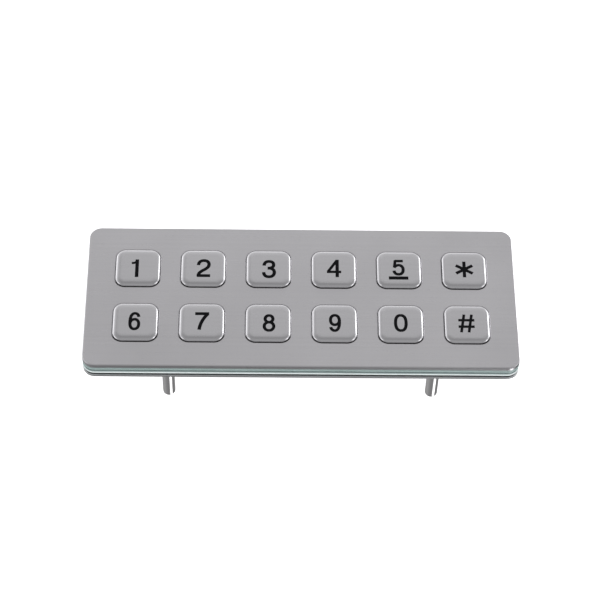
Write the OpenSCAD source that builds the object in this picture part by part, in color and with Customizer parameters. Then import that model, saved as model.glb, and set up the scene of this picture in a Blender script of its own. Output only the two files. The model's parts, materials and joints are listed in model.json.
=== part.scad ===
// Vandal-resistant twelve-key access keypad, panel mounted.
// +X runs along the face, +Y up the face towards the first key row, +Z out of the face.
// The origin is the centre of the mounting plane, which is the rear face of the back frame.
// All sizes are in millimetres.

/* [Panel] */
// Width of the faceplate
panel_w = 140; // [136:1:160]
// Height of the faceplate
panel_h = 54.4; // [54:0.2:64]
// Radius of the panel's outer corners
panel_r = 4; // [2:0.5:5]
// Thickness of the stainless faceplate
plate_t = 1.5; // [1.2:0.1:3]
// Height of the silicone edge seal
seal_t = 3.3; // [2.9:0.1:4]
// Thickness of the bonding layer under the seal
bond_t = 1.0; // [0.6:0.1:1.2]
// Thickness of the back frame
frame_t = 1.0; // [0.8:0.1:2]
// Width of the edge seal, seen from the front
seal_wall = 1.8; // [1.2:0.1:1.8]

/* [Keys] */
// Distance between key centres, along both axes
key_pitch = 21.4; // [21:0.1:22]
// Width and height of a key cap
cap_w = 14.4; // [13:0.1:15]
// Radius of a key cap's corners
cap_r = 3.2; // [2.4:0.1:4]
// Gap between a key cap and its opening
cap_gap = 0.2; // [0.15:0.05:0.3]
// How far a key stands out of the faceplate
cap_proud = 0.9; // [0.5:0.1:1.5]
// Width of the flange that holds a key behind the faceplate
flange_w = 16.2; // [15.8:0.1:16.4]
// How far a key travels
key_travel = 0.5; // [0.3:0.1:0.8]

/* [Mounting] */
// Distance between the stud centres along X
stud_dx = 85.6; // [80:0.2:86]
// Distance between the stud centres along Y
stud_dy = 46; // [45.6:0.1:46.2]
// Diameter of a mounting stud
stud_d = 4; // [3:0.5:4]
// Length of a mounting stud, measured from the back of the faceplate
stud_len = 20; // [16:1:30]

/* [Rear] */
// Width of the circuit board
board_w = 118; // [110:1:118]
// Height of the circuit board
board_h = 33.2; // [32:0.2:33.2]
// How deep the rear cover is behind the mounting plane
cover_depth = 8.6; // [8.6:0.2:12]
// Wall thickness of the rear cover
cover_wall = 1.6; // [1.2:0.1:1.6]
// Number of ways in the wiring connector
ways = 8; // [4:1:10]

/* [Hidden] */
$fn = 64;
layer_eps = 0.01;
key_names = [["1", "2", "3", "4", "5", "star"], ["6", "7", "8", "9", "0", "hash"]];
columns = 6;
rows = 2;

bond_z = frame_t;
seal_z = bond_z + bond_t;
plate_z = seal_z + seal_t;
face_z = plate_z + plate_t;
bond_setback = 0.5;
groove_setback = 0.45;
upper_bead_t = 1.6;
lower_bead_t = 1.1;

open_w = cap_w + 2 * cap_gap;
open_r = cap_r + cap_gap;
flange_t = 0.8;
flange_r = 3.8;
flange_z = plate_z - flange_t;
cap_top = face_z + cap_proud;
crown_h = 0.6;
crown_inset = 0.7;

board_t = 1.6;
board_top = frame_t;
board_z = board_top - board_t;
window_w = board_w + 0.8;
window_h = board_h + 0.8;
window_r = 2;
mat_w = 122;
mat_h = 40.4;
mat_t = 1.0;
mat_z = board_top;
mat_top = mat_z + mat_t;

pad_t = 0.1;
pad_r = 3;
pad_split = 0.5;
pill_r = 2;
pill_t = 0.5;
pill_gap = 0.02;
pill_z = board_top + pad_t + key_travel + pill_gap;
dome_foot_r = 5.6;
dome_bore_r = 4.9;
dome_top_r = 3.3;

post_r = 2.2;
post_bore_r = 1.25;
post_bore_h = 3.2;
post_dx = 42.8;
post_dy = 14;
post_xy = [for (i = [-1:1]) for (j = [-1, 1]) [i * post_dx, j * post_dy]];
screw_r = 1.2;
screw_head_r = 2.2;
screw_head_h = 1.5;
stud_xy = [for (i = [-1, 1]) for (j = [-1, 1]) [i * stud_dx / 2, j * stud_dy / 2]];
collar_r = 2.3;
collar_hole_r = collar_r + 0.2;

seat_z = 0.3;
seat_gap = 0.3;
gasket_t = 0.6;
gasket_z = seat_z - gasket_t;
rim_w = 135;
rim_step = 0.6;
rim_t = 2;
rim_z = gasket_z - rim_t;
cover_w = window_w + 2 * cover_wall;
cover_h = window_h + 2 * cover_wall;
cover_r = window_r + cover_wall;
rim_h = cover_h + 2 * rim_step;
rim_r = cover_r + rim_step;
cover_screw_xy = [for (i = [-1, 1]) for (j = [-1, 1]) [i * 64.2, j * 12]];
cover_screw_len = 5;

pin_pitch = 2.5;
pin_w = 0.64;
shroud_w = (ways - 1) * pin_pitch + 4.9;
shroud_d = 5.8;
shroud_h = 7;
shroud_wall = 0.8;
shroud_base = 1.5;
shroud_x = -21.4;
chip_x = 21.4;

function key_x(col) = (col - (columns - 1) / 2) * key_pitch;
function key_y(row) = ((rows - 1) / 2 - row) * key_pitch;

// Outline of a rectangle with round corners, centred.
module round_rect(w, h, r) {
    square([w - 2 * r, h], center = true);
    square([w, h - 2 * r], center = true);
    for (x = [-1, 1], y = [-1, 1])
        translate([x * (w / 2 - r), y * (h / 2 - r)]) circle(r);
}

// Plate with round corners from height z up.
module slab(w, h, r, z, t) {
    translate([0, 0, z]) linear_extrude(t) round_rect(w, h, r);
}

// Frame with a wall of one width all round.
module ring(w, h, r, wall, z, t) {
    translate([0, 0, z]) linear_extrude(t) difference() {
        round_rect(w, h, r);
        round_rect(w - 2 * wall, h - 2 * wall, max(r - wall, 0.5));
    }
}

// Cylinder from height z up, at a point of the plane.
module post(at, r, z, h) {
    translate([at[0], at[1], z]) cylinder(r = r, h = h);
}

module faceplate() {
    color("silver") difference() {
        slab(panel_w, panel_h, panel_r, plate_z, plate_t);
        for (row = [0:rows - 1], col = [0:columns - 1])
            translate([key_x(col), key_y(row), 0])
                slab(open_w, open_w, open_r, plate_z - 1, plate_t + 2);
    }
}

// Two beads with a groove between them run round the edge.
module edge_seal() {
    groove_z = seal_z + lower_bead_t;
    upper_z = plate_z - upper_bead_t;
    color("darkseagreen") union() {
        ring(panel_w, panel_h, panel_r, seal_wall, seal_z, lower_bead_t);
        ring(panel_w - 2 * groove_setback, panel_h - 2 * groove_setback,
             panel_r - groove_setback, seal_wall - groove_setback, groove_z, upper_z - groove_z);
        ring(panel_w, panel_h, panel_r, seal_wall, upper_z, upper_bead_t);
    }
}

module bonding_layer() {
    color("dimgray")
        ring(panel_w - 2 * bond_setback, panel_h - 2 * bond_setback,
             panel_r - bond_setback, seal_wall - bond_setback, bond_z, bond_t);
}

// A plate with a window for the board and a shallow seat for the rear cover.
module back_frame() {
    color("slategray") difference() {
        slab(panel_w, panel_h, panel_r, 0, frame_t);
        slab(window_w, window_h, window_r, -1, frame_t + 2);
        slab(rim_w + 2 * seat_gap, rim_h + 2 * seat_gap, rim_r + seat_gap, seat_z - 1, 1);
        for (at = stud_xy) post(at, collar_hole_r, -1, frame_t + 2);
        for (at = cover_screw_xy) post(at, screw_r + 0.05, -1, frame_t + 2);
    }
}

// A cap with a flange behind the faceplate and a crowned top.
module keycap(col, row) {
    crown_w = cap_w - 2 * crown_inset;
    color("lightgray") translate([key_x(col), key_y(row), 0]) union() {
        slab(flange_w, flange_w, flange_r, flange_z, flange_t);
        slab(cap_w, cap_w, cap_r, flange_z, cap_top - crown_h - flange_z);
        hull($fn = 32) {
            slab(cap_w, cap_w, cap_r, cap_top - crown_h - layer_eps, layer_eps);
            slab(crown_w, crown_w, cap_r - crown_inset, cap_top - layer_eps, layer_eps);
        }
    }
}

// A conical web springs from the mat and carries a solid post up to the key.
module dome(col, row) {
    web_z = pill_z + pill_t;
    color("gray") translate([key_x(col), key_y(row), 0]) rotate_extrude()
        polygon([[0, web_z], [2.3, web_z], [2.5, web_z + 0.6], [dome_bore_r, mat_top],
                 [dome_foot_r, mat_top], [dome_foot_r, mat_top + 0.25],
                 [dome_top_r, web_z + 1], [dome_top_r, flange_z], [0, flange_z]]);
}

module pill(col, row) {
    color("black") post([key_x(col), key_y(row)], pill_r, pill_z, pill_t);
}

module silicone_mat() {
    color("gray") difference() {
        slab(mat_w, mat_h, 3, mat_z, mat_t);
        for (row = [0:rows - 1], col = [0:columns - 1])
            post([key_x(col), key_y(row)], dome_bore_r, mat_z - 1, mat_t + 2);
        for (at = post_xy) post(at, post_r + 0.3, mat_z - 1, mat_t + 2);
    }
}

module circuit_board() {
    color("darkgreen") difference() {
        slab(board_w, board_h, 1.5, board_z, board_t);
        for (at = post_xy) post(at, screw_r + 0.15, board_z - 1, board_t + 2);
    }
}

// Each pad is two half discs, which the pill bridges.
module contact_pads() {
    color("gold") for (row = [0:rows - 1], col = [0:columns - 1])
        difference() {
            post([key_x(col), key_y(row)], pad_r, board_top, pad_t);
            translate([key_x(col), key_y(row), board_top])
                cube([pad_split, 3 * pad_r, 1], center = true);
        }
}

module standoffs() {
    color("silver") for (at = post_xy) difference() {
        post(at, post_r, board_top, plate_z - board_top);
        post(at, post_bore_r, board_top - 1, post_bore_h + 1);
    }
}

// Pan-head screw with a cross recess, its head below height z.
module pan_screw(at, z, shaft) {
    translate([at[0], at[1], z]) difference() {
        union() {
            translate([0, 0, -screw_head_h]) cylinder(r = screw_head_r, h = screw_head_h);
            cylinder(r = screw_r, h = shaft);
        }
        for (a = [0, 90]) rotate(a) translate([0, 0, -screw_head_h])
            cube([2.6, 0.6, 1.6], center = true);
    }
}

module board_screws() {
    color("silver") for (at = post_xy) pan_screw(at, board_z, 4);
}

// A collar through the back frame, then the stud itself with a chamfered tip.
module mounting_studs() {
    tip = 0.6;
    tip_z = plate_z - stud_len;
    color("silver") for (at = stud_xy) union() {
        translate([at[0], at[1], tip_z])
            cylinder(r1 = stud_d / 2 - tip, r2 = stud_d / 2, h = tip);
        post(at, stud_d / 2, tip_z + tip, -tip_z - tip);
        post(at, collar_r, 0, plate_z);
    }
}

// Outline shared by the rear cover's rim and the gasket on it.
module rim_outline() {
    round_rect(rim_w, rim_h, rim_r);
}

module cover_gasket() {
    color("black") translate([0, 0, gasket_z]) linear_extrude(gasket_t) difference() {
        rim_outline();
        round_rect(window_w, window_h, window_r);
        for (at = cover_screw_xy) translate(at) circle(screw_r + 0.15);
    }
}

// A tub with a screwed rim and a window for the wiring connector.
module rear_cover() {
    floor_z = -cover_depth;
    color("dimgray") difference() {
        union() {
            translate([0, 0, rim_z]) linear_extrude(rim_t) rim_outline();
            slab(cover_w, cover_h, cover_r, floor_z, gasket_z - floor_z);
        }
        slab(window_w, window_h, window_r, floor_z + cover_wall, cover_depth);
        translate([shroud_x, 0, floor_z])
            cube([shroud_w + 1, shroud_d + 1, 3 * cover_wall], center = true);
        for (at = cover_screw_xy) post(at, screw_r + 0.15, rim_z - 1, rim_t + 2);
    }
}

module cover_screws() {
    color("silver") for (at = cover_screw_xy)
        pan_screw(at, rim_z, cover_screw_len);
}

// Open box with a base on the board and two keying slots in one wall.
module connector_shroud() {
    mouth_z = board_z - shroud_h;
    color("ivory") difference() {
        translate([shroud_x - shroud_w / 2, -shroud_d / 2, mouth_z])
            cube([shroud_w, shroud_d, shroud_h]);
        translate([shroud_x - shroud_w / 2 + shroud_wall, shroud_wall - shroud_d / 2, mouth_z - 1])
            cube([shroud_w - 2 * shroud_wall, shroud_d - 2 * shroud_wall,
                  shroud_h - shroud_base + 1]);
        for (side = [-1, 1])
            translate([shroud_x + side * shroud_w / 4, -shroud_d / 2, mouth_z])
                cube([1.4, 3 * shroud_wall, 8], center = true);
        pin_row(board_z - shroud_base - 1, shroud_base + 2);
    }
}

// Square pins of the wiring connector, from height z up.
module pin_row(z, h) {
    for (i = [0:ways - 1])
        translate([shroud_x + (i - (ways - 1) / 2) * pin_pitch - pin_w / 2, -pin_w / 2, z])
            cube([pin_w, pin_w, h]);
}

module connector_pins() {
    color("gold") pin_row(board_z - shroud_h + 1, shroud_h - 1);
}

// Flat package with a row of leads on each long side.
module controller_chip() {
    body = [10, 7.5, 1.9];
    lead_pitch = 1.27;
    leads = 7;
    color("black") translate([chip_x, 0, board_z]) union() {
        translate([0, 0, -0.1 - body[2] / 2]) cube(body, center = true);
        for (i = [0:leads - 1], side = [-1, 1])
            translate([(i - (leads - 1) / 2) * lead_pitch, side * (body[1] / 2 + 0.5), -0.6])
                cube([0.45, 1.4, 1.2], center = true);
    }
}

// Resistors and capacitors in two rows beside the chip.
module surface_parts() {
    color("saddlebrown") for (i = [0:5], side = [-1, 1])
        translate([chip_x + (i - 2.5) * 3.2, side * 9.5, board_z - 0.3])
            cube([0.9, 1.6, 0.6], center = true);
}

faceplate();
edge_seal();
bonding_layer();
back_frame();
for (row = [0:rows - 1], col = [0:columns - 1]) {
    keycap(col, row);
    dome(col, row);
    pill(col, row);
}
silicone_mat();
circuit_board();
contact_pads();
standoffs();
board_screws();
mounting_studs();
cover_gasket();
rear_cover();
cover_screws();
connector_shroud();
connector_pins();
controller_chip();
surface_parts();
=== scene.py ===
"""Visual model of a twelve-key access keypad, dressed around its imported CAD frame.

Lengths are in metres. +X runs along the face, +Y up the face, +Z out of it.
"""

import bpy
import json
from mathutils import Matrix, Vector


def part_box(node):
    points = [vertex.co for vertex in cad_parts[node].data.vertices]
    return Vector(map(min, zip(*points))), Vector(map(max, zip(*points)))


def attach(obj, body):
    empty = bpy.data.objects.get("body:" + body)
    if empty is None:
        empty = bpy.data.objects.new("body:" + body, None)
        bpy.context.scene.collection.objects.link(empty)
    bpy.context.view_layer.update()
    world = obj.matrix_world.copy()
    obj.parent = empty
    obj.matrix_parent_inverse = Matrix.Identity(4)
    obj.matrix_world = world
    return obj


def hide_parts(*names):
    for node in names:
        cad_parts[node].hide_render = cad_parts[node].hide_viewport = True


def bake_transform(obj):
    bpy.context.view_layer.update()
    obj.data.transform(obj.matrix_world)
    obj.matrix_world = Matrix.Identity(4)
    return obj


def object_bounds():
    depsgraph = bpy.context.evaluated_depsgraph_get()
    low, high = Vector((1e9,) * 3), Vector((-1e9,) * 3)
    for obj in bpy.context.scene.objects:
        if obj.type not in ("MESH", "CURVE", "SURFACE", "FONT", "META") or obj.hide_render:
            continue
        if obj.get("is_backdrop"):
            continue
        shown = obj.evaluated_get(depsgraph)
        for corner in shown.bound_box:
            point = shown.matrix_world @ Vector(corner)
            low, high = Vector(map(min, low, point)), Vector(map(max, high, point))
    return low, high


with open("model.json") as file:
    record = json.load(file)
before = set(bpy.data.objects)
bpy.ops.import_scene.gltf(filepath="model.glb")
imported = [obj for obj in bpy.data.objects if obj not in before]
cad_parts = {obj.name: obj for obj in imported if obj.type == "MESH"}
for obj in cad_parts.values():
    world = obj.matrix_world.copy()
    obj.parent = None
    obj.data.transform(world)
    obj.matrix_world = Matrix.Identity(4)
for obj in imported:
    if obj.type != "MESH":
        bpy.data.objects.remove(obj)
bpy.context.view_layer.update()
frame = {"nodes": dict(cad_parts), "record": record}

import json
import logging
import math
from dataclasses import dataclass
from enum import Enum

import bmesh
import bpy
import numpy as np
from mathutils import Matrix, Vector
from mathutils.geometry import delaunay_2d_cdt

LOG = logging.getLogger("keypad")
MM = 0.001
# Points closer than this are one point.
WELD = 2e-6
# The triangle filler works in millimetres, keeps what lies inside an outline, and joins points
# that are closer than these distances, in millimetres, in a flat face and in a legend.
CDT_UNIT = 1000.0
CDT_INSIDE = 1
FACE_NEAR = 1e-5
LEGEND_NEAR = 1e-4
# Turns in a surface above these angles are shaded as creases, and rounded on a copied CAD node.
CREASE = math.radians(40.0)
BEVEL_FROM = math.radians(35.0)
# Facets of a copied CAD node that turn by less than this lie in one face.
FLAT = math.radians(1.0)
# Numbers of a Mix node's inputs and output when it mixes colours.
MIX_AMOUNT, MIX_LOW, MIX_HIGH, MIX_RESULT = 0, 6, 7, 2


# ---------------------------------------------------------------- shader maths


class Sock:
    """One shader socket, with the operators that the finishes use."""

    def __init__(self, graph: "Graph", socket: bpy.types.NodeSocket) -> None:
        """Keep the socket and the graph it belongs to."""
        self.graph, self.socket = graph, socket

    def _math(self, operation: str, *values: object) -> "Sock":
        """Add one Math node and return its result."""
        return self.graph.node("ShaderNodeMath", {"operation": operation}, dict(enumerate(values)))

    def __add__(self, other: object) -> "Sock":
        """Sum of this value and another."""
        return self._math("ADD", self, other)

    def __sub__(self, other: object) -> "Sock":
        """This value less another."""
        return self._math("SUBTRACT", self, other)

    def __rsub__(self, other: object) -> "Sock":
        """Another value less this one."""
        return self._math("SUBTRACT", other, self)

    def __mul__(self, other: object) -> "Sock":
        """Product of this value and another."""
        return self._math("MULTIPLY", self, other)

    def __pow__(self, other: object) -> "Sock":
        """This value raised to a power."""
        return self._math("POWER", self, other)

    __radd__ = __add__
    __rmul__ = __mul__

    def clamp(self) -> "Sock":
        """This value held between nought and one."""
        return self.graph.node("ShaderNodeClamp", {}, {0: self})

    def step(self, low: float, high: float, start: float = 0.0, end: float = 1.0) -> "Sock":
        """Ease from start to end as this value goes from low to high."""
        return self.graph.node("ShaderNodeMapRange", {"interpolation_type": "SMOOTHSTEP"},
                               {"Value": self, "From Min": low, "From Max": high,
                                "To Min": start, "To Max": end})


class Graph:
    """A node tree that is built from Python."""

    def __init__(self, tree: bpy.types.NodeTree) -> None:
        """Keep the tree."""
        self.tree = tree

    def node(self, kind: str, settings: dict, values: dict, out: int | str = 0) -> Sock:
        """Add a node.

        Args:
            kind: The node's type name.
            settings: Its properties, which are set first.
            values: What goes into its inputs, by name or number: a Sock, number or tuple.
            out: The output to return.

        Returns:
            The chosen output.
        """
        node = self.tree.nodes.new(kind)
        for key, value in settings.items():
            setattr(node, key, value)
        for key, value in values.items():
            self._feed(node.inputs[key], value)
        return Sock(self, node.outputs[out])

    def axis(self, vector: Sock, name: str) -> Sock:
        """One component of a vector: "X", "Y" or "Z"."""
        return self.node("ShaderNodeSeparateXYZ", {}, {"Vector": vector}, name)

    def _feed(self, socket: bpy.types.NodeSocket, value: object) -> None:
        """Link a Sock to an input, or set a plain value on it."""
        if isinstance(value, Sock):
            self.tree.links.new(value.socket, socket)
        else:
            socket.default_value = value


class Dress(Graph):
    """Builds one procedural material around a Principled shader."""

    def __init__(self, name: str) -> None:
        """Start an empty material.

        Args:
            name: The finish's name.
        """
        self.material = bpy.data.materials.new(name)
        self.material.use_nodes = True
        super().__init__(self.material.node_tree)
        self.shader = next(n for n in self.tree.nodes if n.type == "BSDF_PRINCIPLED")

    def set(self, **values: object) -> None:
        """Set or link the shader's own inputs; underscores stand for spaces."""
        for key, value in values.items():
            self._feed(self.shader.inputs[key.replace("_", " ")], value)

    def coords(self) -> Sock:
        """Object coordinates."""
        return self.node("ShaderNodeTexCoord", {}, {}, "Object")

    def place(self, scale: tuple) -> Sock:
        """Object coordinates, stretched by a factor along each axis."""
        return self.node("ShaderNodeMapping", {}, {"Vector": self.coords(), "Scale": scale})

    def noise(self, scale: tuple | float, detail: float, rough: float) -> Sock:
        """Fractal noise with its own grain size along each axis.

        Args:
            scale: Cycles per metre along each axis, or one number for all three.
            detail: Octaves of finer noise.
            rough: How strong the finer octaves are.

        Returns:
            A value around one half.
        """
        stretch = scale if isinstance(scale, tuple) else (scale,) * 3
        return self.node("ShaderNodeTexNoise", {},
                         {"Vector": self.place(stretch), "Scale": 1.0, "Detail": detail,
                          "Roughness": rough})

    def mix(self, amount: Sock, low: tuple, high: tuple | Sock) -> Sock:
        """Blend two colours.

        Args:
            amount: How much of the second.
            low: The first colour, as red, green and blue.
            high: The second colour, or a link to one.

        Returns:
            The blended colour.
        """
        second = high if isinstance(high, Sock) else (*high, 1.0)
        return self.node("ShaderNodeMix", {"data_type": "RGBA"},
                         {MIX_AMOUNT: amount, MIX_LOW: (*low, 1.0), MIX_HIGH: second},
                         MIX_RESULT)

    def bump(self, height: Sock, depth: float) -> None:
        """Drive the shader's normal from a height.

        Args:
            height: The height field, nought to one.
            depth: Its full depth, in metres.
        """
        self.set(Normal=self.node("ShaderNodeBump", {},
                                  {"Height": height, "Strength": 1.0, "Distance": depth}))


# -------------------------------------------------------------------- finishes


class Brushing(Enum):
    """Which way a steel surface was brushed, as noise cycles per metre."""

    ALONG_X = (14.0, 5200.0, 5200.0)
    ALONG_Z = (2400.0, 2400.0, 60.0)
    ROUND = (2600.0, 2600.0, 2600.0)


@dataclass(frozen=True)
class Steel:
    """Satin or bright stainless steel.

    Fields: name, base tone, mean roughness, how much that varies, grain direction, grain depth
    and how much the tone clouds over a few centimetres. Grains are in cycles per metre; a streak
    is a coarser copy of the brushing.
    """

    CLOUD_GRAIN = 28.0
    MARK_GRAIN = 420.0
    STREAK_COARSE = 0.22
    STREAK_TONE = 0.22
    CLOUD_TONE = 4.0
    MARK_GLOSS = 0.06
    TONE_SWING = 0.18
    STREAK_DEPTH = 0.25

    name: str
    tone: tuple
    roughness: float
    spread: float
    brushing: Brushing
    depth: float
    cloud: float = 0.03

    def make(self) -> bpy.types.Material:
        """Build the material: long fine scratches, soft clouds and faint handling marks.

        Returns:
            The finished material.
        """
        dress = Dress(self.name)
        grain = dress.noise(self.brushing.value, 4.0, 0.65)
        streak = dress.noise(tuple(self.STREAK_COARSE * c for c in self.brushing.value), 2.0, 0.5)
        clouds = dress.noise(self.CLOUD_GRAIN, 3.0, 0.55)
        marks = dress.noise(self.MARK_GRAIN, 5.0, 0.7)
        shade = ((clouds - 0.5) * (self.CLOUD_TONE * self.cloud)
                 + (streak - 0.5) * self.STREAK_TONE + 0.5)
        dark = tuple((1.0 - self.TONE_SWING) * c for c in self.tone)
        light = tuple(min(1.0, (1.0 + self.TONE_SWING) * c) for c in self.tone)
        dress.set(Base_Color=dress.mix(shade.clamp(), dark, light), Metallic=1.0,
                  Roughness=((grain - 0.5) * self.spread + (marks - 0.5) * self.MARK_GLOSS
                             + self.roughness))
        dress.bump(grain * (1.0 - self.STREAK_DEPTH) + streak * self.STREAK_DEPTH, self.depth)
        return dress.material


@dataclass(frozen=True)
class Rubber:
    """Silicone or rubber with a soft skin.

    Fields: name, dark and light tones, roughness, fine texture depth, light scattered inside,
    strength of the glossy skin and strength of the plain reflection.
    """

    DRIFT_GRAIN = 60.0
    DRIFT_GLOSS = 0.12
    PORE_GRAIN = 2400.0
    PORE_GLOSS = 0.18
    SCATTER_COLOUR = (0.8, 1.0, 0.95)
    SCATTER_REACH = 1.2 * MM
    SKIN_ROUGHNESS = 0.12

    name: str
    dark: tuple
    light: tuple
    roughness: float
    depth: float = 4e-6
    scatter: float = 0.0
    skin: float = 0.0
    shine: float = 0.5

    def tone(self, dress: Dress, drift: Sock) -> Sock:
        """Colour of the rubber: it drifts slowly between the dark and the light tone."""
        return dress.mix(drift.clamp(), self.dark, self.light)

    def make(self) -> bpy.types.Material:
        """Build the material: slow tone drift, fine moulded texture and uneven gloss.

        Returns:
            The finished material.
        """
        dress = Dress(self.name)
        drift = dress.noise(self.DRIFT_GRAIN, 4.0, 0.6)
        pores = dress.noise(self.PORE_GRAIN, 3.0, 0.6)
        dress.set(Base_Color=self.tone(dress, drift),
                  Roughness=((pores - 0.5) * self.PORE_GLOSS + (drift - 0.5) * self.DRIFT_GLOSS
                             + self.roughness),
                  Subsurface_Weight=self.scatter, Subsurface_Radius=self.SCATTER_COLOUR,
                  Subsurface_Scale=self.SCATTER_REACH, Coat_Weight=self.skin,
                  Coat_Roughness=self.SKIN_ROUGHNESS, Specular_IOR_Level=self.shine)
        dress.bump(pores, self.depth)
        return dress.material


@dataclass(frozen=True)
class SealPaintedLightBelow(Rubber):
    """Tinted silicone edge seal whose lower bead is painted lighter below a height: painted light
    for the floor light that falls on that bead.

    Further fields: the painted lighter tone, and the heights over which it fades into the tint.
    """

    # Painted light: a lighter tone on the lower bead that stands in for floor light on it.
    painted_light_tone: tuple = (0.71, 0.775, 0.768)
    painted_light_fade: tuple = (2.6 * MM, 3.2 * MM)

    def tone(self, dress: Dress, drift: Sock) -> Sock:
        """Colour of the seal: the painted lighter tone below the fade heights, as painted light,
        and the tint above them.
        """
        height = dress.axis(dress.coords(), "Z")
        # Painted light: lighter below the fade heights, chosen by height alone.
        return dress.mix(height.step(*self.painted_light_fade), self.painted_light_tone, super().tone(dress, drift))


@dataclass(frozen=True)
class Plastic:
    """Moulded plastic. Fields: name, tone, roughness, spark-eroded texture depth and its grain."""

    WEAR_GRAIN = 90.0
    WEAR_GLOSS = 0.2
    WEAR_TONE = 1.6
    PEBBLE_GLOSS = 0.08

    name: str
    tone: tuple
    roughness: float
    depth: float = 8e-6
    grain: float = 1800.0

    def make(self) -> bpy.types.Material:
        """Build the material: pebbled texture, slightly uneven gloss and pale scuffs.

        Returns:
            The finished material.
        """
        dress = Dress(self.name)
        pebble = dress.node("ShaderNodeTexVoronoi", {"feature": "SMOOTH_F1"},
                            {"Vector": dress.place((self.grain,) * 3), "Scale": 1.0,
                             "Smoothness": 0.6})
        wear = dress.noise(self.WEAR_GRAIN, 5.0, 0.7)
        light = tuple(min(1.0, 1.25 * c + 0.01) for c in self.tone)
        scuffs = ((wear - 0.5) * self.WEAR_TONE + 0.4).clamp()
        dress.set(Base_Color=dress.mix(scuffs, self.tone, light),
                  Roughness=((wear - 0.5) * self.WEAR_GLOSS + pebble * self.PEBBLE_GLOSS
                             + self.roughness))
        dress.bump(pebble, self.depth)
        return dress.material


@dataclass(frozen=True)
class Laminate:
    """Circuit board with solder resist over copper tracks."""

    name: str = "solder_resist"
    bare: tuple = (0.012, 0.105, 0.045)
    over_copper: tuple = (0.02, 0.19, 0.08)
    roughness: float = 0.3
    depth: float = 2e-5

    def make(self) -> bpy.types.Material:
        """Build the material: tracks, as the joints of a brick pattern, under a glossy resist.

        Returns:
            The finished material.
        """
        dress = Dress(self.name)
        weave = dress.noise(1500.0, 2.0, 0.5)
        tracks = dress.node("ShaderNodeTexBrick", {"offset": 0.37},
                            {"Vector": dress.place((160.0, 420.0, 160.0)), "Scale": 1.0,
                             "Mortar Size": 0.06}, "Fac")
        dress.set(Base_Color=dress.mix(tracks, self.bare, self.over_copper),
                  Roughness=(weave - 0.5) * 0.15 + self.roughness, Coat_Weight=0.4,
                  Coat_Roughness=0.1)
        dress.bump(weave * 0.3 + tracks * 0.7, self.depth)
        return dress.material


@dataclass(frozen=True)
class Plated:
    """Gold-plated contact metal."""

    name: str = "gold_plate"
    dull: tuple = (0.72, 0.5, 0.2)
    bright: tuple = (0.92, 0.74, 0.38)
    roughness: float = 0.28
    depth: float = 3e-6

    def make(self) -> bpy.types.Material:
        """Build the material: pitted plate with faint tarnish.

        Returns:
            The finished material.
        """
        dress = Dress(self.name)
        pits = dress.noise(3000.0, 3.0, 0.6)
        tarnish = dress.noise(300.0, 4.0, 0.6)
        dress.set(Base_Color=dress.mix(tarnish.clamp(), self.dull, self.bright), Metallic=1.0,
                  Roughness=(pits - 0.5) * 0.2 + self.roughness)
        dress.bump(pits, self.depth)
        return dress.material


FINISH_LIST = (
    Steel("satin_steel", (0.505, 0.498, 0.51), 0.3, 0.16, Brushing.ALONG_X, 5e-6, 0.13),
    Steel("key_steel", (0.49, 0.485, 0.496), 0.25, 0.1, Brushing.ALONG_X, 3e-6, 0.02),
    Steel("frame_steel", (0.5, 0.505, 0.51), 0.42, 0.2, Brushing.ALONG_X, 6e-6, 0.05),
    Steel("bright_steel", (0.66, 0.655, 0.645), 0.22, 0.12, Brushing.ROUND, 3e-6),
    Steel("drawn_steel", (0.62, 0.615, 0.61), 0.17, 0.14, Brushing.ALONG_Z, 2e-6, 0.06),
    # The seal's lower bead is painted lighter by its default tone: painted light.
    SealPaintedLightBelow("seal_silicone", (0.195, 0.268, 0.254), (0.295, 0.368, 0.36), 0.28, 3e-6, 0.1, 0.3),
    Rubber("bond_rubber", (0.02, 0.024, 0.024), (0.045, 0.05, 0.05), 0.62, 8e-6),
    Rubber("mat_silicone", (0.30, 0.32, 0.34), (0.40, 0.42, 0.44), 0.55, 5e-6, 0.2),
    Rubber("gasket_rubber", (0.012, 0.012, 0.013), (0.03, 0.03, 0.032), 0.8, 3e-5),
    Rubber("legend_enamel", (0.002, 0.002, 0.003), (0.005, 0.005, 0.006), 0.6, 3e-6, shine=0.06),
    Plastic("carbon", (0.014, 0.014, 0.015), 0.7, 1.5e-5, 3000.0),
    Plastic("cover_plastic", (0.028, 0.029, 0.031), 0.5, 2.2e-5, 1500.0),
    Plastic("connector_nylon", (0.72, 0.68, 0.58), 0.42, 8e-6, 1200.0),
    Plastic("chip_epoxy", (0.018, 0.018, 0.02), 0.6, 1.2e-5, 2600.0),
    Plastic("part_ceramic", (0.36, 0.25, 0.15), 0.45, 5e-6, 2600.0),
)
FINISHES = {finish.name: finish for finish in FINISH_LIST}
FINISHES |= {"board_laminate": Laminate(), "gold": Plated()}


class Wardrobe:
    """Makes each finish once and hands it out by name."""

    def __init__(self) -> None:
        """Start with nothing made."""
        self.made: dict[str, bpy.types.Material] = {}

    def __call__(self, name: str) -> bpy.types.Material:
        """Return the named finish's material, making it the first time."""
        if name not in self.made:
            self.made[name] = FINISHES[name].make()
        return self.made[name]


# -------------------------------------------------------------------- surfaces


@dataclass
class Loop:
    """A closed outline in plan: points in order and the unit directions out of the outline."""

    points: np.ndarray
    out: np.ndarray
    hole: bool = False

    def row(self, inset: float, z: float) -> np.ndarray:
        """The outline moved into the material and set at a height.

        Each point moves by the inset against its outward direction, or along it for a hole.

        Args:
            inset: Distance into the material.
            z: Height.

        Returns:
            The points, as an n by 3 array.
        """
        sign = 1.0 if self.hole else -1.0
        plan = self.points + sign * inset * self.out
        return np.column_stack([plan, np.full(len(plan), z)])


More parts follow.
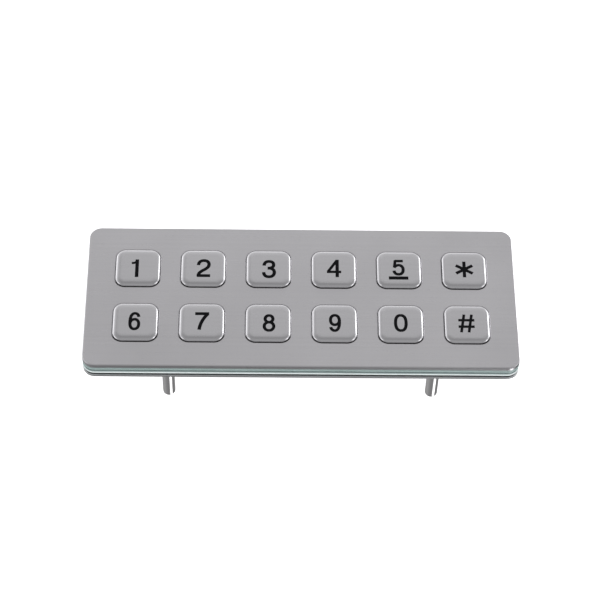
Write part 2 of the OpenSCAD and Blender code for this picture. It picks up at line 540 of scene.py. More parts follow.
def round_rect(width: float, height: float, radius: float, centre: tuple = (0.0, 0.0),
               hole: bool = False, arc_steps: int = 10) -> Loop:
    """Outline of a rectangle with round corners.

    Each corner is a quarter circle about its own centre, from angle k quarter-turns on.

    Args:
        width: Full size along X.
        height: Full size along Y.
        radius: Corner radius.
        centre: Middle of the rectangle.
        hole: True if the material is outside the outline.
        arc_steps: Stretches in each corner.

    Returns:
        The outline, anticlockwise.
    """
    quarter = np.arange(4)[:, None]
    angle = (quarter + np.linspace(0.0, 1.0, arc_steps + 1)[None, :]) * math.pi / 2
    sx = np.array([1.0, -1.0, -1.0, 1.0])[:, None]
    sy = np.array([1.0, 1.0, -1.0, -1.0])[:, None]
    out = np.stack([np.cos(angle), np.sin(angle)], axis=-1).reshape(-1, 2)
    x = centre[0] + sx * (width / 2 - radius) + radius * np.cos(angle)
    y = centre[1] + sy * (height / 2 - radius) + radius * np.sin(angle)
    return Loop(np.stack([x, y], axis=-1).reshape(-1, 2), out, hole)


def round_hole(radius: float, centre: tuple, steps: int = 32) -> Loop:
    """Outline of a round hole: its centre plus the radius along evenly spaced directions.

    Args:
        radius: The hole's radius.
        centre: Its middle.
        steps: Number of points.

    Returns:
        The outline, anticlockwise.
    """
    angle = np.arange(steps) * 2 * math.pi / steps
    out = np.column_stack([np.cos(angle), np.sin(angle)])
    return Loop(np.asarray(centre) + radius * out, out, True)


def fillet(top: float, across: float, down: float, steps: int = 5) -> list[tuple[float, float]]:
    """Profile of a rounded edge, from the flat face out and down to the wall.

    A quarter ellipse: the inset is across times one less the sine, and the drop is down times one
    less the cosine.

    Args:
        top: Height of the flat face.
        across: How far the round reaches in over the face.
        down: How far it reaches down the wall, negative to go up.
        steps: Stretches in the round.

    Returns:
        Pairs of inset and height.
    """
    turn = np.linspace(0.0, math.pi / 2, steps + 1)
    return list(zip(across * (1 - np.sin(turn)), top - down * (1 - np.cos(turn))))


def pillow(top: float, across: float, down: float, power: float, steps: int = 14) -> list:
    """Profile of a pillowed edge, from the flat face out and down to the wall.

    A quarter superellipse: the part of across gone over and the part of down still left, each to
    the given power, add up to one, so the slope starts gently and ends steep.

    Args:
        top: Height of the flat face.
        across: How far the pillow reaches in over the face.
        down: How far it reaches down the wall.
        power: Two for an ellipse; more keeps the face flat for longer.
        steps: Stretches in the pillow.

    Returns:
        Pairs of inset and height.
    """
    turn = np.linspace(0.0, math.pi / 2, steps + 1)
    over = np.sin(turn) ** (2 / power)
    left = np.maximum(np.cos(turn), 0.0) ** (2 / power)
    return list(zip(across * (1 - over), top - down * (1 - left)))


def triangles(rings: list[np.ndarray], near: float,
              union: bool) -> tuple[np.ndarray, np.ndarray]:
    """Cut the plane inside some outlines into triangles, whose edges keep to the outlines.

    For a union, a triangle inside any outline is kept. Otherwise the first outline holds the
    material and the others are holes, so a triangle is kept if it is inside the first alone.

    Args:
        rings: The outlines, each n by 2, anticlockwise, in millimetres.
        near: Points closer than this are joined.
        union: Whether the outlines are laid over each other.

    Returns:
        The points, and the triangles as numbers of those points.
    """
    starts = np.cumsum([0] + [len(ring) for ring in rings])
    outlines = [list(range(a, b)) for a, b in zip(starts, starts[1:])]
    plan = [Vector(point) for point in np.concatenate(rings).tolist()]
    found = delaunay_2d_cdt(plan, [], outlines, CDT_INSIDE, near, True)
    points, faces, owners = found[0], found[2], found[5]
    kept = [face for face, inside in zip(faces, owners)
            if inside and (union or list(inside) == [0])]
    return np.array([tuple(point) for point in points]), np.array(kept)


class Shell:
    """Gathers grids and flat faces into one closed mesh."""

    def __init__(self) -> None:
        """Start empty."""
        self.points: list[np.ndarray] = []
        self.faces: list[np.ndarray] = []
        self.smooth: list[np.ndarray] = []
        self.count = 0

    def add(self, points: np.ndarray, faces: np.ndarray, smooth: bool) -> None:
        """Add points and the faces between them.

        Args:
            points: n by 3 positions.
            faces: m by 3 or 4 numbers of those points, anticlockwise from outside.
            smooth: Whether the faces are shaded smooth.
        """
        self.points.append(points)
        self.faces.append(faces + self.count)
        self.smooth.append(np.full(len(faces), smooth))
        self.count += len(points)

    def grid(self, surface: np.ndarray, wrap: bool = False, flip: bool = False) -> None:
        """Add a surface of two parameters as quads, shaded smooth.

        Args:
            surface: Rows by columns by 3 positions; the columns always close on themselves.
            wrap: Whether the rows close too.
            flip: Whether to turn its faces over.
        """
        rows, columns = surface.shape[:2]
        number = np.arange(rows * columns).reshape(rows, columns)
        corners = [number, np.roll(number, -1, axis=0)]
        corners += [np.roll(corner, -1, axis=1) for corner in corners[::-1]]
        last = rows if wrap else rows - 1
        quads = np.stack([corner[:last] for corner in corners], axis=-1).reshape(-1, 4)
        self.add(surface.reshape(-1, 3), quads[:, ::-1] if flip else quads, True)

    def wall(self, loop: Loop, profile: list[tuple[float, float]], wrap: bool = False) -> None:
        """Carry a profile round an outline, from its top down.

        Args:
            loop: The outline.
            profile: Pairs of inset and height, from the top face down.
            wrap: Whether the profile closes on itself.
        """
        rows = np.stack([loop.row(inset, z) for inset, z in profile])
        self.grid(rows, wrap=wrap, flip=loop.hole)

    def flat(self, rings: list[np.ndarray], up: bool = True) -> None:
        """Fill the flat face between an outer ring and any holes in it.

        Args:
            rings: The outer ring and then the holes, each n by 3 at one height.
            up: Whether the face looks up.
        """
        spots, faces = triangles([ring[:, :2] * CDT_UNIT for ring in rings], FACE_NEAR, False)
        points = np.column_stack([spots / CDT_UNIT, np.full(len(spots), rings[0][0, 2])])
        self.add(points, faces if up else faces[:, ::-1], False)

    def build(self, name: str, material: bpy.types.Material) -> bpy.types.Object:
        """Mark the creases, weld everything and make the object.

        Args:
            name: The piece's name.
            material: Its finish.

        Returns:
            The new object, at the origin.
        """
        mesh = bpy.data.meshes.new(name)
        faces = [face for block in self.faces for face in block.tolist()]
        mesh.from_pydata(np.concatenate(self.points), [], faces)
        mesh.set_sharp_from_angle(angle=CREASE)
        mesh.polygons.foreach_set("use_smooth", np.concatenate(self.smooth))
        work = bmesh.new()
        work.from_mesh(mesh)
        bmesh.ops.remove_doubles(work, verts=work.verts, dist=WELD)
        bmesh.ops.dissolve_degenerate(work, edges=work.edges, dist=WELD / 2)
        work.to_mesh(mesh)
        work.free()
        mesh.materials.append(material)
        mesh.validate()
        piece = bpy.data.objects.new(name, mesh)
        bpy.context.scene.collection.objects.link(piece)
        return piece


def revolve(profile: np.ndarray, centre: tuple, steps: int = 40) -> np.ndarray:
    """Surface of revolution about an upright axis.

    Point (i, j) stands at the profile's i-th radius from the centre, in the j-th of evenly spaced
    directions, at the profile's i-th height.

    Args:
        profile: Pairs of radius and height, from the top down.
        centre: Where the axis crosses the plane.
        steps: Directions in a full turn.

    Returns:
        The surface, rows by steps by 3.
    """
    angle = np.arange(steps) * 2 * math.pi / steps
    radius, height = profile[:, :1], profile[:, 1:]
    x = centre[0] + radius * np.cos(angle)
    y = centre[1] + radius * np.sin(angle)
    return np.stack([x, y, np.broadcast_to(height, x.shape)], axis=-1)


def merged_copy(node: str, name: str, width: float,
                material: bpy.types.Material) -> bpy.types.Object:
    """Copy a CAD node, weld its triangles and round its edges.

    Args:
        node: The CAD node to copy.
        name: The new piece's name.
        width: Width of the rounding.
        material: The new piece's finish.

    Returns:
        The new object.
    """
    mesh = frame["nodes"][node].data.copy()
    mesh.name = name
    work = bmesh.new()
    work.from_mesh(mesh)
    bmesh.ops.remove_doubles(work, verts=work.verts, dist=WELD)
    bmesh.ops.dissolve_limit(work, angle_limit=FLAT, verts=work.verts, edges=work.edges)
    work.to_mesh(mesh)
    work.free()
    mesh.materials.clear()
    mesh.materials.append(material)
    mesh.shade_smooth()
    piece = bpy.data.objects.new(name, mesh)
    bpy.context.scene.collection.objects.link(piece)
    bevel = piece.modifiers.new("edges", "BEVEL")
    bevel.width, bevel.segments = width, 2
    bevel.limit_method, bevel.angle_limit = "ANGLE", BEVEL_FROM
    bevel.use_clamp_overlap = True
    weighted = piece.modifiers.new("normals", "WEIGHTED_NORMAL")
    weighted.keep_sharp = True
    return piece


def hand_over(piece: bpy.types.Object, body: str, slot: str, *nodes: str) -> None:
    """Fix a piece to its body, log its material slot and stand it in for CAD nodes.

    Args:
        piece: The finished piece.
        body: The body that it moves with.
        slot: The record's material slot.
        nodes: CAD nodes that it replaces.
    """
    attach(piece, body)
    if nodes:
        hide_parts(*nodes)
    LOG.info("%s: rides on %s, slot %s, %d faces", piece.name, body, slot,
             len(piece.data.polygons))


# ------------------------------------------------------------------- the panel


@dataclass(frozen=True)
class Layout:
    """Where everything is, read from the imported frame, and the sizes that pieces share."""

    names: tuple = ("1", "2", "3", "4", "5", "star", "6", "7", "8", "9", "0", "hash")
    corner: float = 4.0 * MM
    cap_width: float = 14.4 * MM
    cap_corner: float = 3.2 * MM
    opening_gap: float = 0.2 * MM

    def span(self, node: str) -> np.ndarray:
        """A node's size along each axis."""
        return np.subtract(*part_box(node)[::-1])

    def middle(self, node: str) -> tuple[float, float]:
        """A node's middle in plan."""
        return tuple(np.mean(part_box(node), axis=0)[:2])

    def heights(self, node: str) -> tuple[float, float]:
        """A node's lowest and highest heights."""
        low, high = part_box(node)
        return low[2], high[2]


@dataclass
class Panel:
    """The layers seen from the front: faceplate, edge seal, bonding layer and back frame."""

    layout: Layout
    finish: Wardrobe
    edge_round: float = 0.35 * MM
    opening_bevel: float = 0.2 * MM
    seal_wall: float = 1.8 * MM
    bead_round: float = 0.75 * MM
    bead_belly: float = 0.6
    bead_shoulder: float = 0.8
    upper_bead: float = 1.6 * MM
    lower_bead: float = 1.1 * MM
    bond_setback: float = 0.5 * MM
    bond_hollow: float = 0.12 * MM
    frame_round: float = 0.25 * MM
    seat_rise: float = 0.3 * MM
    seat_size: tuple = (135.6 * MM, 39.0 * MM)
    seat_corner: float = 4.5 * MM
    window_size: tuple = (118.8 * MM, 34.0 * MM)
    window_corner: float = 2.0 * MM
    stud_hole: float = 2.5 * MM
    screw_hole: float = 1.25 * MM
    screw_spots: tuple = ((64.2 * MM, 12.0 * MM), (-64.2 * MM, 12.0 * MM),
                          (-64.2 * MM, -12.0 * MM), (64.2 * MM, -12.0 * MM))
    stud_spots: tuple = ((42.8 * MM, 23.0 * MM), (-42.8 * MM, 23.0 * MM),
                         (-42.8 * MM, -23.0 * MM), (42.8 * MM, -23.0 * MM))

    def outline(self, setback: float = 0.0) -> Loop:
        """The panel's outline, moved in by a setback."""
        width, height = self.layout.span("faceplate")[:2]
        return round_rect(width - 2 * setback, height - 2 * setback, self.layout.corner - setback,
                          arc_steps=16)

    def faceplate(self) -> None:
        """Steel plate with twelve round-cornered openings and softened edges."""
        bottom, top = self.layout.heights("faceplate")
        side = self.layout.cap_width + 2 * self.layout.opening_gap
        corner = self.layout.cap_corner + self.layout.opening_gap
        rim = self.outline()
        openings = [round_rect(side, side, corner, self.layout.middle(f"keycap_{n}"), True)
                    for n in self.layout.names]
        shell = Shell()
        shell.flat([rim.row(self.edge_round, top)]
                   + [o.row(self.opening_bevel, top) for o in openings])
        shell.wall(rim, fillet(top, self.edge_round, self.edge_round) + [(0.0, bottom)])
        for opening in openings:
            shell.wall(opening, fillet(top, self.opening_bevel, self.opening_bevel, 1)
                       + [(0.0, bottom)])
        shell.flat([rim.row(0.0, bottom)] + [o.row(0.0, bottom) for o in openings], up=False)
        piece = shell.build("face_sheet", self.finish("satin_steel"))
        hand_over(piece, "root", "satin_steel", "faceplate")

    def bead(self, low: float, high: float) -> list[tuple[float, float]]:
        """Half-round profile of one seal bead, from its top down.

        As an angle goes from straight up to straight down, the bulge is a power of its cosine and
        the rise is a power of its sine. Both powers are below one, which makes the belly broad
        and the shoulders tight.

        Args:
            low: Height of the bead's foot.
            high: Height of its top.

        Returns:
            Pairs of inset and height.
        """
        turn = np.linspace(math.pi / 2, -math.pi / 2, 15)
        middle, half = (low + high) / 2, (high - low) / 2
        bulge = np.maximum(np.cos(turn), 0.0) ** self.bead_belly
        rise = np.sign(np.sin(turn)) * np.abs(np.sin(turn)) ** self.bead_shoulder
        return list(zip(self.bead_round * (1 - bulge), middle + half * rise))

    def edge_seal(self) -> None:
        """Silicone edge seal with two beads."""
        low, high = self.layout.heights("edge_seal")
        profile = [(self.seal_wall, high)]
        profile += self.bead(high - self.upper_bead, high)
        profile += self.bead(low, low + self.lower_bead)
        profile += [(self.seal_wall, low)]
        shell = Shell()
        shell.wall(self.outline(), profile, wrap=True)
        piece = shell.build("edge_seal_beads", self.finish("seal_silicone"))
        hand_over(piece, "root", "seal_silicone", "edge_seal")

    def bonding_layer(self) -> None:
        """Dark bonding layer, set back under the seal, with a slightly hollow edge."""
        low, high = self.layout.heights("bonding_layer")
        turn = np.linspace(0.0, math.pi, 7)
        profile = [(self.seal_wall - self.bond_setback, high)]
        profile += list(zip(self.bond_hollow * np.sin(turn), high + (low - high) * turn / math.pi))
        profile += [(self.seal_wall - self.bond_setback, low)]
        shell = Shell()
        shell.wall(self.outline(self.bond_setback), profile, wrap=True)
        piece = shell.build("bonding_strip", self.finish("bond_rubber"))
        hand_over(piece, "root", "bond_rubber", "bonding_layer")

    def back_frame(self) -> None:
        """Steel frame with a window, a sunk seat for the cover, and stud and screw holes."""
        low, high = self.layout.heights("back_frame")
        seat_z = low + self.seat_rise
        soft = self.frame_round
        rim = self.outline()
        window = round_rect(*self.window_size, self.window_corner, hole=True)
        seat = round_rect(*self.seat_size, self.seat_corner, hole=True)
        studs = [round_hole(self.stud_hole, spot) for spot in self.stud_spots]
        screws = [round_hole(self.screw_hole, spot, 24) for spot in self.screw_spots]
        eased = fillet(low, soft / 2, -soft / 2)[::-1]
        shell = Shell()
        shell.flat([rim.row(soft, high)] + [h.row(0.0, high) for h in (window, *studs, *screws)])
        shell.wall(rim, fillet(high, soft, soft) + fillet(low, soft, -soft)[::-1])
        for hole in (window, *screws):
            shell.wall(hole, [(0.0, high), (0.0, seat_z)])
        for hole in studs:
            shell.wall(hole, [(0.0, high)] + eased)
        shell.wall(seat, [(0.0, seat_z)] + eased)
        shell.flat([seat.row(0.0, seat_z)] + [h.row(0.0, seat_z) for h in (window, *screws)],
                   up=False)
        shell.flat([rim.row(soft, low), seat.row(soft / 2, low)]
                   + [h.row(soft / 2, low) for h in studs], up=False)
        piece = shell.build("frame_sheet", self.finish("frame_steel"))
        hand_over(piece, "root", "frame_steel", "back_frame")

    def build(self) -> None:
        """Make every layer."""
        self.faceplate()
        self.edge_seal()
        self.bonding_layer()
        self.back_frame()


# ------------------------------------------------------------------- the keys


# Pen widths of the legends, in millimetres.
PEN = 1.12
OVAL_PEN = 1.05
SIX_PEN = 1.02
FINE_PEN = 0.95


@dataclass(frozen=True)
class Stroke:
    """One pen stroke of a legend: a chain of lines and curves, and the pen's width.

    Sizes are in millimetres from the middle of the legend.
    """

    path: tuple
    width: float = PEN

    def centre_line(self) -> np.ndarray:
        """Points along the stroke's middle.

        A piece of two points is a straight line; of four it is a cubic curve, whose point at t is
        the sum of its points times the Bernstein weights of t.

        Returns:
            The points, n by 2.
        """
        rows = []
        for piece in self.path:
            ends = np.array(piece, dtype=float)
            if len(ends) == 2:
                rows.append(ends)
                continue
            t = np.linspace(0.0, 1.0, 15)[:, None]
            weight = np.hstack([(1 - t) ** 3, 3 * t * (1 - t) ** 2, 3 * t * t * (1 - t), t ** 3])
            rows.append(weight @ ends)
        line = np.concatenate(rows)
        apart = np.linalg.norm(np.diff(line, axis=0), axis=1) > 1e-6
        return line[np.concatenate([[True], apart])]

    def ribbon(self) -> np.ndarray:
        """Outline of the stroke: its middle line moved half the pen's width to either side.

        Returns:
            The outline, m by 2, in millimetres.
        """
        line = self.centre_line()
        step = np.gradient(line, axis=0)
        step /= np.linalg.norm(step, axis=1, keepdims=True)
        side = np.column_stack([-step[:, 1], step[:, 0]]) * self.width / 2
        return np.concatenate([line - side, (line + side)[::-1]])


def moved(strokes: tuple, shift: tuple = (0.0, 0.0), stretch: tuple = (1.0, 1.0),
          degrees: float = 0.0) -> tuple:
    """Strokes turned about the legend's middle, then stretched, then shifted.

    Args:
        strokes: The strokes.
        shift: How far they move along X and Y, in millimetres.
        stretch: Factors along X and Y, which leave the pen's width alone.
        degrees: Turn, anticlockwise.

    Returns:
        The new strokes.
    """
    cos, sin = math.cos(math.radians(degrees)), math.sin(math.radians(degrees))

    def place(point: tuple) -> tuple:
        """One point's new place."""
        return (shift[0] + stretch[0] * (cos * point[0] - sin * point[1]),
                shift[1] + stretch[1] * (sin * point[0] + cos * point[1]))

    return tuple(Stroke(tuple(tuple(map(place, piece)) for piece in s.path), s.width)
                 for s in strokes)


def oval(cx: float, cy: float, rx: float, ry: float, square: float = 0.56) -> tuple:
    """Two strokes that close an oval; square sets how full its shoulders are.

    Args:
        cx: Middle along X.
        cy: Middle along Y.
        rx: Half its width.
        ry: Half its height.
        square: Length of each curve's handle, as a part of the half size.

    Returns:
        The right and the left half.
    """
    def half(side: float) -> Stroke:
        """One half of the oval."""
        x, kx, ky = side * rx, side * rx * square, ry * square
        return Stroke((((cx, cy + ry), (cx + kx, cy + ry), (cx + x, cy + ky), (cx + x, cy)),
                       ((cx + x, cy), (cx + x, cy - ky), (cx + kx, cy - ry), (cx, cy - ry))),
                      OVAL_PEN)

    return half(1.0), half(-1.0)


SIX = (
    Stroke((((1.72, 1.62), (1.55, 2.5), (0.95, 2.97), (0.12, 2.97)),
            ((0.12, 2.97), (-1.2, 2.97), (-1.82, 1.7), (-1.82, -0.5))), SIX_PEN),
    Stroke((((-1.82, -0.5), (-1.82, -2.1), (-1.2, -2.97), (0.02, -2.97)),
            ((0.02, -2.97), (1.15, -2.97), (1.78, -2.2), (1.78, -1.12))), SIX_PEN),
    Stroke((((1.78, -1.12), (1.78, 0.0), (1.1, 0.72), (0.08, 0.72)),
            ((0.08, 0.72), (-0.9, 0.72), (-1.75, 0.1), (-1.78, -1.0))), SIX_PEN),
)

LEGENDS = {
    "1": moved((Stroke((((0.3, -3.5), (0.3, 3.55)),), 1.15),
                Stroke((((-1.5, 2.1), (-0.5, 2.1), (0.0, 2.35), (0.3, 3.2)),), 0.85)),
               (-0.55, -0.6)),
    "2": moved((Stroke((((-1.8, 1.15), (-1.8, 2.3), (-1.1, 2.97), (0.05, 2.97)),
                        ((0.05, 2.97), (1.15, 2.97), (1.78, 2.35), (1.78, 1.4)))),
                Stroke((((1.78, 1.4), (1.78, 0.2), (0.55, -0.4), (-0.55, -1.1)),
                        ((-0.55, -1.1), (-1.35, -1.65), (-1.8, -2.2), (-1.85, -3.1)))),
                Stroke((((-2.3, -2.97), (2.25, -2.97)),))), (0.2, -0.3), (0.96, 1.02)),
    "3": moved((Stroke((((-1.72, 1.35), (-1.7, 2.4), (-1.05, 2.97), (-0.02, 2.97)),
                        ((-0.02, 2.97), (1.0, 2.97), (1.6, 2.45), (1.6, 1.7)))),
                Stroke((((1.6, 1.7), (1.6, 0.85), (0.95, 0.35), (-0.5, 0.35)),)),
                Stroke((((-0.5, 0.35), (1.15, 0.4), (1.85, -0.25), (1.85, -1.25)),)),
                Stroke((((1.85, -1.25), (1.85, -2.3), (1.1, -2.97), (-0.02, -2.97)),
                        ((-0.02, -2.97), (-1.15, -2.97), (-1.82, -2.35), (-1.85, -1.2))))),
               (0.18, -0.5), (0.94, 1.04)),
    "4": moved((Stroke((((1.02, -3.5), (1.02, 3.5)),)),
                Stroke((((-2.35, -1.4), (2.35, -1.4)),), FINE_PEN),
                Stroke((((-2.0, -1.35), (0.85, 3.05)),), FINE_PEN)), (0.1, 0.0)),
    "5": moved((Stroke((((-1.4, 3.7), (1.7, 3.7)),), 1.0),
                Stroke((((-1.22, 3.95), (-1.62, 1.2)),), FINE_PEN),
                Stroke((((-1.7, 1.15), (-1.2, 1.85), (-0.65, 2.1), (0.0, 2.1)),
                        ((0.0, 2.1), (1.15, 2.1), (1.7, 1.35), (1.7, 0.4))), OVAL_PEN),
                Stroke((((1.7, 0.4), (1.7, -0.75), (1.0, -1.4), (-0.05, -1.4)),
                        ((-0.05, -1.4), (-1.05, -1.4), (-1.65, -0.9), (-1.75, 0.0))), OVAL_PEN)),
               (-0.1, -0.7), (0.87, 1.05)) + (Stroke((((-3.4, -3.65), (3.0, -3.65)),), 1.25),),
    "6": moved(SIX, (-0.2, -0.1), (0.79, 1.02)),
    "7": moved((Stroke((((-2.15, 2.97), (2.2, 2.97)),)),
                Stroke((((1.85, 2.97), (0.6, 1.5), (-0.6, -0.8), (-0.8, -3.45)),))),
               (0.1, 0.12), (1.04, 0.97)),
    "8": moved(oval(0.0, 1.62, 1.5, 1.35) + oval(0.0, -1.33, 1.85, 1.64),
               (0.3, -0.4), (0.83, 0.98)),
    "9": moved(SIX, (0.15, -0.2), (0.8, 1.0), 180.0),
    "0": moved(oval(0.0, 0.0, 1.75, 2.97, 0.66), (0.0, 0.0), (0.97, 1.0)),
    "star": moved(tuple(Stroke((((-x, -y), (x, y)),), 1.08)
                        for x, y in ((2.73, 1.58), (0.0, 3.15), (-2.73, 1.58))), (0.05, 0.0)),
    "hash": moved(tuple(Stroke((((x - 0.54, -3.45), (x + 0.54, 3.45)),), 0.9)
                        for x in (-1.22, 1.22))
                  + tuple(Stroke((((-2.6, y), (2.6, y)),), FINE_PEN) for y in (-1.25, 1.25)),
                  (-0.2, 0.0)),
}


@dataclass
class Keys:
    """Twelve key caps with filled legends, over silicone domes with carbon pills."""

    layout: Layout
    finish: Wardrobe
    crown_across: float = 2.4 * MM
    crown_down: float = 0.85 * MM
    crown_power: float = 2.5
    crown_sunk: float = 0.03 * MM
    flange_width: float = 16.2 * MM
    flange_corner: float = 3.8 * MM
    flange_thick: float = 0.8 * MM
    flange_round: float = 0.1 * MM
    legend_top: float = 0.008 * MM
    legend_sunk: float = 0.18 * MM
    dome_foot: float = 5.6 * MM
    dome_bore: float = 4.9 * MM
    dome_top: float = 3.3 * MM
    dome_shoulder: float = 1.0 * MM
    dome_lip: float = 0.25 * MM
    web_radius: float = 2.5 * MM
    web_rise: float = 0.6 * MM
    post_radius: float = 2.3 * MM

    def cap(self, name: str) -> None:
        """Steel cap with a flange behind the faceplate and a soft pillowed edge.

        Args:
            name: The key's name.
        """
        node = f"keycap_{name}"
        centre = self.layout.middle(node)
        low, high = self.layout.heights(node)
        shoulder = low + self.flange_thick
        width = self.layout.cap_width
        body = round_rect(width, width, self.layout.cap_corner, centre, arc_steps=12)
        flange = round_rect(self.flange_width, self.flange_width, self.flange_corner, centre,
                            arc_steps=12)
        soft, top = self.flange_round, high - self.crown_sunk
        shell = Shell()
        shell.flat([body.row(self.crown_across, top)])
        crown = pillow(top, self.crown_across, self.crown_down, self.crown_power)
        shell.wall(body, crown + [(0.0, shoulder)])
        shell.flat([flange.row(soft, shoulder), body.row(0.0, shoulder)])
        shell.wall(flange, fillet(shoulder, soft, soft, 3) + fillet(low, soft, -soft, 3)[::-1])
        shell.flat([flange.row(soft, low)], up=False)
        piece = shell.build(f"cap_{name}", self.finish("key_steel"))
        hand_over(piece, f"key_{name}", "key_steel", node)

    def legend(self, name: str) -> None:
        """Enamel legend let into a cap, as the union of its strokes.

        The strokes are laid over each other in plan and cut into triangles; every triangle inside
        any stroke is kept, and edges that only one of them uses carry the side walls.

        Args:
            name: The key's name.
        """
        node = f"keycap_{name}"
        centre = np.array(self.layout.middle(node))
        top = self.layout.heights(node)[1]
        spots, tris = triangles([stroke.ribbon() for stroke in LEGENDS[name]], LEGEND_NEAR, True)
        spots = spots * MM + centre
        edges = np.concatenate([tris[:, [0, 1]], tris[:, [1, 2]], tris[:, [2, 0]]])
        _, first, uses = np.unique(np.sort(edges, axis=1), axis=0, return_index=True,
                                   return_counts=True)
        rim = edges[first[uses == 1]]
        upper = np.column_stack([spots, np.full(len(spots), top - self.legend_top)])
        lower = np.column_stack([spots, np.full(len(spots), top - self.legend_sunk)])
        sides = np.column_stack([rim, rim[:, ::-1] + len(spots)])
        shell = Shell()
        for faces in (tris, tris[:, ::-1] + len(spots), sides[:, ::-1]):
            shell.add(np.concatenate([upper, lower]), faces, False)
        piece = shell.build(f"legend_{name}", self.finish("legend_enamel"))
        hand_over(piece, f"key_{name}", "carbon")

    def dome(self, name: str) -> None:
        """Silicone dome, which on the real keypad shortens as its key goes down; here it is built
        at rest and does not move.

        Args:
            name: The key's name.
        """
        node = f"dome_{name}"
        centre = self.layout.middle(node)
        low, high = self.layout.heights(node)
        post = self.layout.heights(f"pill_{name}")[1]
        outer = [(self.dome_top, high), (self.dome_top, post + self.dome_shoulder),
                 (self.dome_foot, low + self.dome_lip), (self.dome_foot, low)]
        inner = [(self.dome_bore, low), (self.web_radius, post + self.web_rise),
                 (self.post_radius, post)]
        shell = Shell()
        skin = revolve(np.array(outer + inner), centre)
        shell.grid(skin)
        shell.flat([skin[0]])
        shell.flat([skin[-1]], up=False)
        piece = shell.build(f"switch_dome_{name}", self.finish("mat_silicone"))
        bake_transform(piece)
        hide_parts(node)
        LOG.info("%s: blends from the mat to key_%s", piece.name, name)

    def build(self) -> None:
        """Make every key."""
        for name in self.layout.names:
            self.cap(name)
            self.legend(name)
            self.dome(name)


# ------------------------------------------------------------------- the rear


@dataclass
class Rear:
    """What stands behind the panel: studs, cover, gasket, screws and wiring connector.

    The stud's tip is given from the shank down, as parts of its chamfer: how far each ring is in
    from the shank, and how high it is above the end. The first ring only keeps the shading
    straight.
    """

    layout: Layout
    finish: Wardrobe
    panel: Panel
    stud_radius: float = 2.0 * MM
    collar_radius: float = 2.3 * MM
    tip_chamfer: float = 0.6 * MM
    tip_rings: tuple = ((0.0, 1.3), (0.0, 1.0), (0.15, 0.7), (0.8, 0.0))
    copies: tuple = (("rear_cover", "cover_tub", 0.5 * MM, "cover_plastic"),
                     ("cover_gasket", "gasket_ring", 0.12 * MM, "gasket_rubber"),
                     ("cover_screws", "cover_screw_set", 0.12 * MM, "bright_steel"),
                     ("connector_shroud", "wire_header", 0.12 * MM, "connector_nylon"),
                     ("connector_pins", "header_pins", 0.1 * MM, "gold"))

    def studs(self) -> None:
        """Four mounting studs, each a collar and a shank with a chamfered tip."""
        low, high = self.layout.heights("mounting_studs")
        tip = [(self.stud_radius - self.tip_chamfer * inset, low + self.tip_chamfer * rise)
               for inset, rise in self.tip_rings]
        profile = np.array([(self.collar_radius, high), (self.collar_radius, 0.0),
                            (self.stud_radius, 0.0), *tip])
        shell = Shell()
        for spot in self.panel.stud_spots:
            skin = revolve(profile, spot, 48)
            shell.grid(skin)
            shell.flat([skin[0]])
            shell.flat([skin[-1]], up=False)
        piece = shell.build("weld_studs", self.finish("drawn_steel"))
        hand_over(piece, "root", "bright_steel", "mounting_studs")

    def build(self) -> None:
        """Make every rear piece."""
        self.studs()
        for node, name, width, slot in self.copies:
            piece = merged_copy(node, name, width, self.finish(slot))
            hand_over(piece, "root", slot, node)


def dress_nodes(finish: Wardrobe) -> None:
    """Give every CAD node the finish of its material slot.

    Args:
        finish: Makes the materials.
    """
    slots = {row["node"]: row["material_slot"] for row in frame["record"]["subparts"]}
    for name, node in frame["nodes"].items():
        node.data.materials.clear()
        node.data.materials.append(finish(slots[name]))


# ----------------------------------------------------------------- the studio


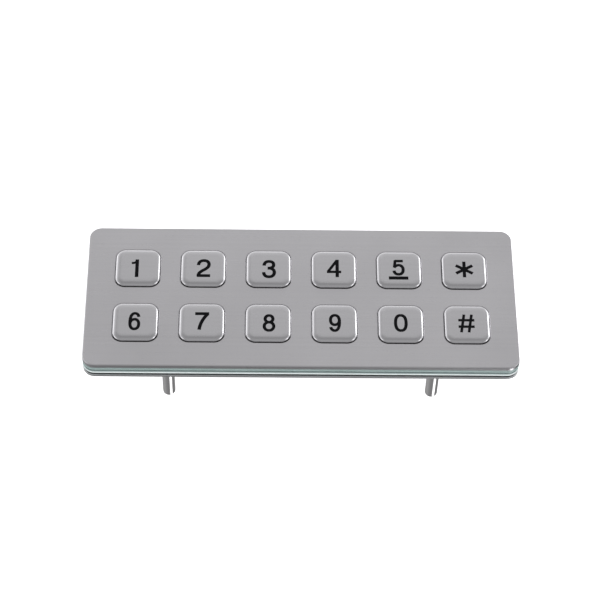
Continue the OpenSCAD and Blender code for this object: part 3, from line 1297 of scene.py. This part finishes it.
@dataclass
class Studio:
    """Pale floor, soft light tent, overhead lamp and the camera.

    Angles are in degrees and the lens in millimetres. The tent's fades and its shelf are the ends
    of an eased step along one component of the direction that is looked at, and then its two
    values. Each lobe has a heading, a sharpness and a gain.
    """

    layout: Layout
    eye: tuple = (-11.3 * MM, -395.3 * MM, 568.2 * MM)
    tilt: float = 34.73
    swing: float = 0.905
    roll: float = 0.46
    lens: float = 127.65
    sensor: float = 36.0
    tent: float = 0.52
    low_glow: float = 2.56
    glow_fall: float = 2.05
    shelf: tuple = (0.74, 0.9, 0.08, -0.08)
    base: float = 0.5
    horizon: tuple = (-0.12, 0.06)
    front_fade: tuple = (-0.6, 0.4, 0.5, 1.0)
    lobes: tuple = (((-0.8, 0.56, 0.2), 8.0, 2.3), ((0.82, 0.56, 0.1), 24.0, 12.0),
                    ((0.0, -0.35, 0.94), 4.0, 0.85), ((-0.01, 0.58, 0.81), 120.0, 0.25),
                    ((-0.57, 0.05, -0.82), 6.0, 0.4), ((0.37, -0.39, -0.84), 90.0, 12.0),
                    ((0.86, -0.3, 0.41), 40.0, 7.0), ((-0.86, -0.3, 0.41), 40.0, 5.0),
                    ((0.0, 0.96, 0.27), 30.0, 1.0))
    tent_colour: tuple = (0.985, 0.985, 1.0, 1.0)
    floor_half: float = 3.0
    floor_glow: float = 0.95
    lamp_place: tuple = (0.15, 0.9, 1.2)
    lamp_size: tuple = (1.0, 0.8)
    lamp_power: float = 0.6

    def floor(self) -> None:
        """Large pale sheet that the studs stand on."""
        level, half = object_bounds()[0][2], self.floor_half
        mesh = bpy.data.meshes.new("floor")
        mesh.from_pydata([(-half, -half, level), (half, -half, level), (half, half, level),
                          (-half, half, level)], [], [(0, 1, 2, 3)])
        dress = Dress("floor_paper")
        fibre = dress.noise(400.0, 3.0, 0.5)
        dress.set(Base_Color=dress.mix(fibre.clamp(), (0.93, 0.93, 0.93), (0.96, 0.96, 0.96)),
                  Roughness=0.9, Emission_Color=(1.0, 1.0, 1.0, 1.0),
                  Emission_Strength=self.floor_glow)
        mesh.materials.append(dress.material)
        sheet = bpy.data.objects.new("floor", mesh)
        bpy.context.scene.collection.objects.link(sheet)
        sheet.visible_glossy = sheet.visible_shadow = False
        sheet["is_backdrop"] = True

    def lamp(self) -> None:
        """A wide soft lamp overhead that faces the origin."""
        light = bpy.data.lights.new("overhead", "AREA")
        light.shape, light.energy = "RECTANGLE", self.lamp_power
        light.size, light.size_y = self.lamp_size
        lamp = bpy.data.objects.new("overhead", light)
        lamp.location = self.lamp_place
        lamp.rotation_euler = (-Vector(self.lamp_place)).to_track_quat("-Z", "Y").to_euler()
        bpy.context.scene.collection.objects.link(lamp)

    def surround(self) -> None:
        """Soft light tent: brightest low down at the sides, dimmer overhead and in front.

        The glow falls in a straight line with the sine of the elevation, with a shelf in it where
        the face looks. It fades towards the front and gives way to a dim base below the horizon.
        Each lobe adds its gain times a power of the cosine of the angle from its heading: the
        bright sides, the window over the face, the lamps under the studs, and the highlights on
        the keys' lower corners and upper edges.
        """
        world = bpy.data.worlds.new("surround")
        world.use_nodes = True
        graph = Graph(world.node_tree)
        ray = graph.node("ShaderNodeTexCoord", {}, {}, "Generated")
        height = graph.axis(ray, "Z")
        above = height.step(*self.horizon)
        glow = self.low_glow - height * self.glow_fall + height.step(*self.shelf)
        glow = glow * graph.axis(ray, "Y").step(*self.front_fade)
        total = above * glow + (1.0 - above) * self.base
        for heading, sharpness, gain in self.lobes:
            along = graph.node("ShaderNodeVectorMath", {"operation": "DOT_PRODUCT"},
                               {0: ray, 1: heading}, "Value")
            total = total + along.clamp() ** sharpness * gain
        back = world.node_tree.nodes["Background"]
        back.inputs["Color"].default_value = self.tent_colour
        world.node_tree.links.new((total * self.tent).socket, back.inputs["Strength"])
        bpy.context.scene.world = world

    def camera(self) -> None:
        """Camera above the near edge, looking down at the face.

        The eye is measured from the middle of the face. The camera's axes are the face's own,
        tilted about X, then swung about the camera's upright and rolled.
        """
        top = self.layout.heights("faceplate")[1]
        data = bpy.data.cameras.new("camera")
        data.lens, data.sensor_width = self.lens, self.sensor
        data.clip_start, data.clip_end = 0.05, 20.0
        camera = bpy.data.objects.new("camera", data)
        turn = (Matrix.Rotation(math.radians(-self.roll), 3, "Z")
                @ Matrix.Rotation(math.radians(self.swing), 3, "Y")
                @ Matrix.Rotation(math.radians(-self.tilt), 3, "X"))
        place = Matrix.Translation(Vector(self.eye) + Vector((0.0, 0.0, top)))
        camera.matrix_world = place @ turn.transposed().to_4x4()
        bpy.context.scene.collection.objects.link(camera)
        bpy.context.scene.camera = camera

    def build(self) -> None:
        """Set up the whole studio."""
        bpy.context.scene.view_settings.view_transform = "Standard"
        self.camera()
        self.floor()
        self.surround()
        self.lamp()


def main() -> None:
    """Build the keypad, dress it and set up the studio."""
    logging.basicConfig(level=logging.INFO, format="%(name)s: %(message)s")
    layout, finish = Layout(), Wardrobe()
    Studio(layout).build()
    dress_nodes(finish)
    panel = Panel(layout, finish)
    panel.build()
    Keys(layout, finish).build()
    Rear(layout, finish, panel).build()


if __name__ == "__main__":
    main()
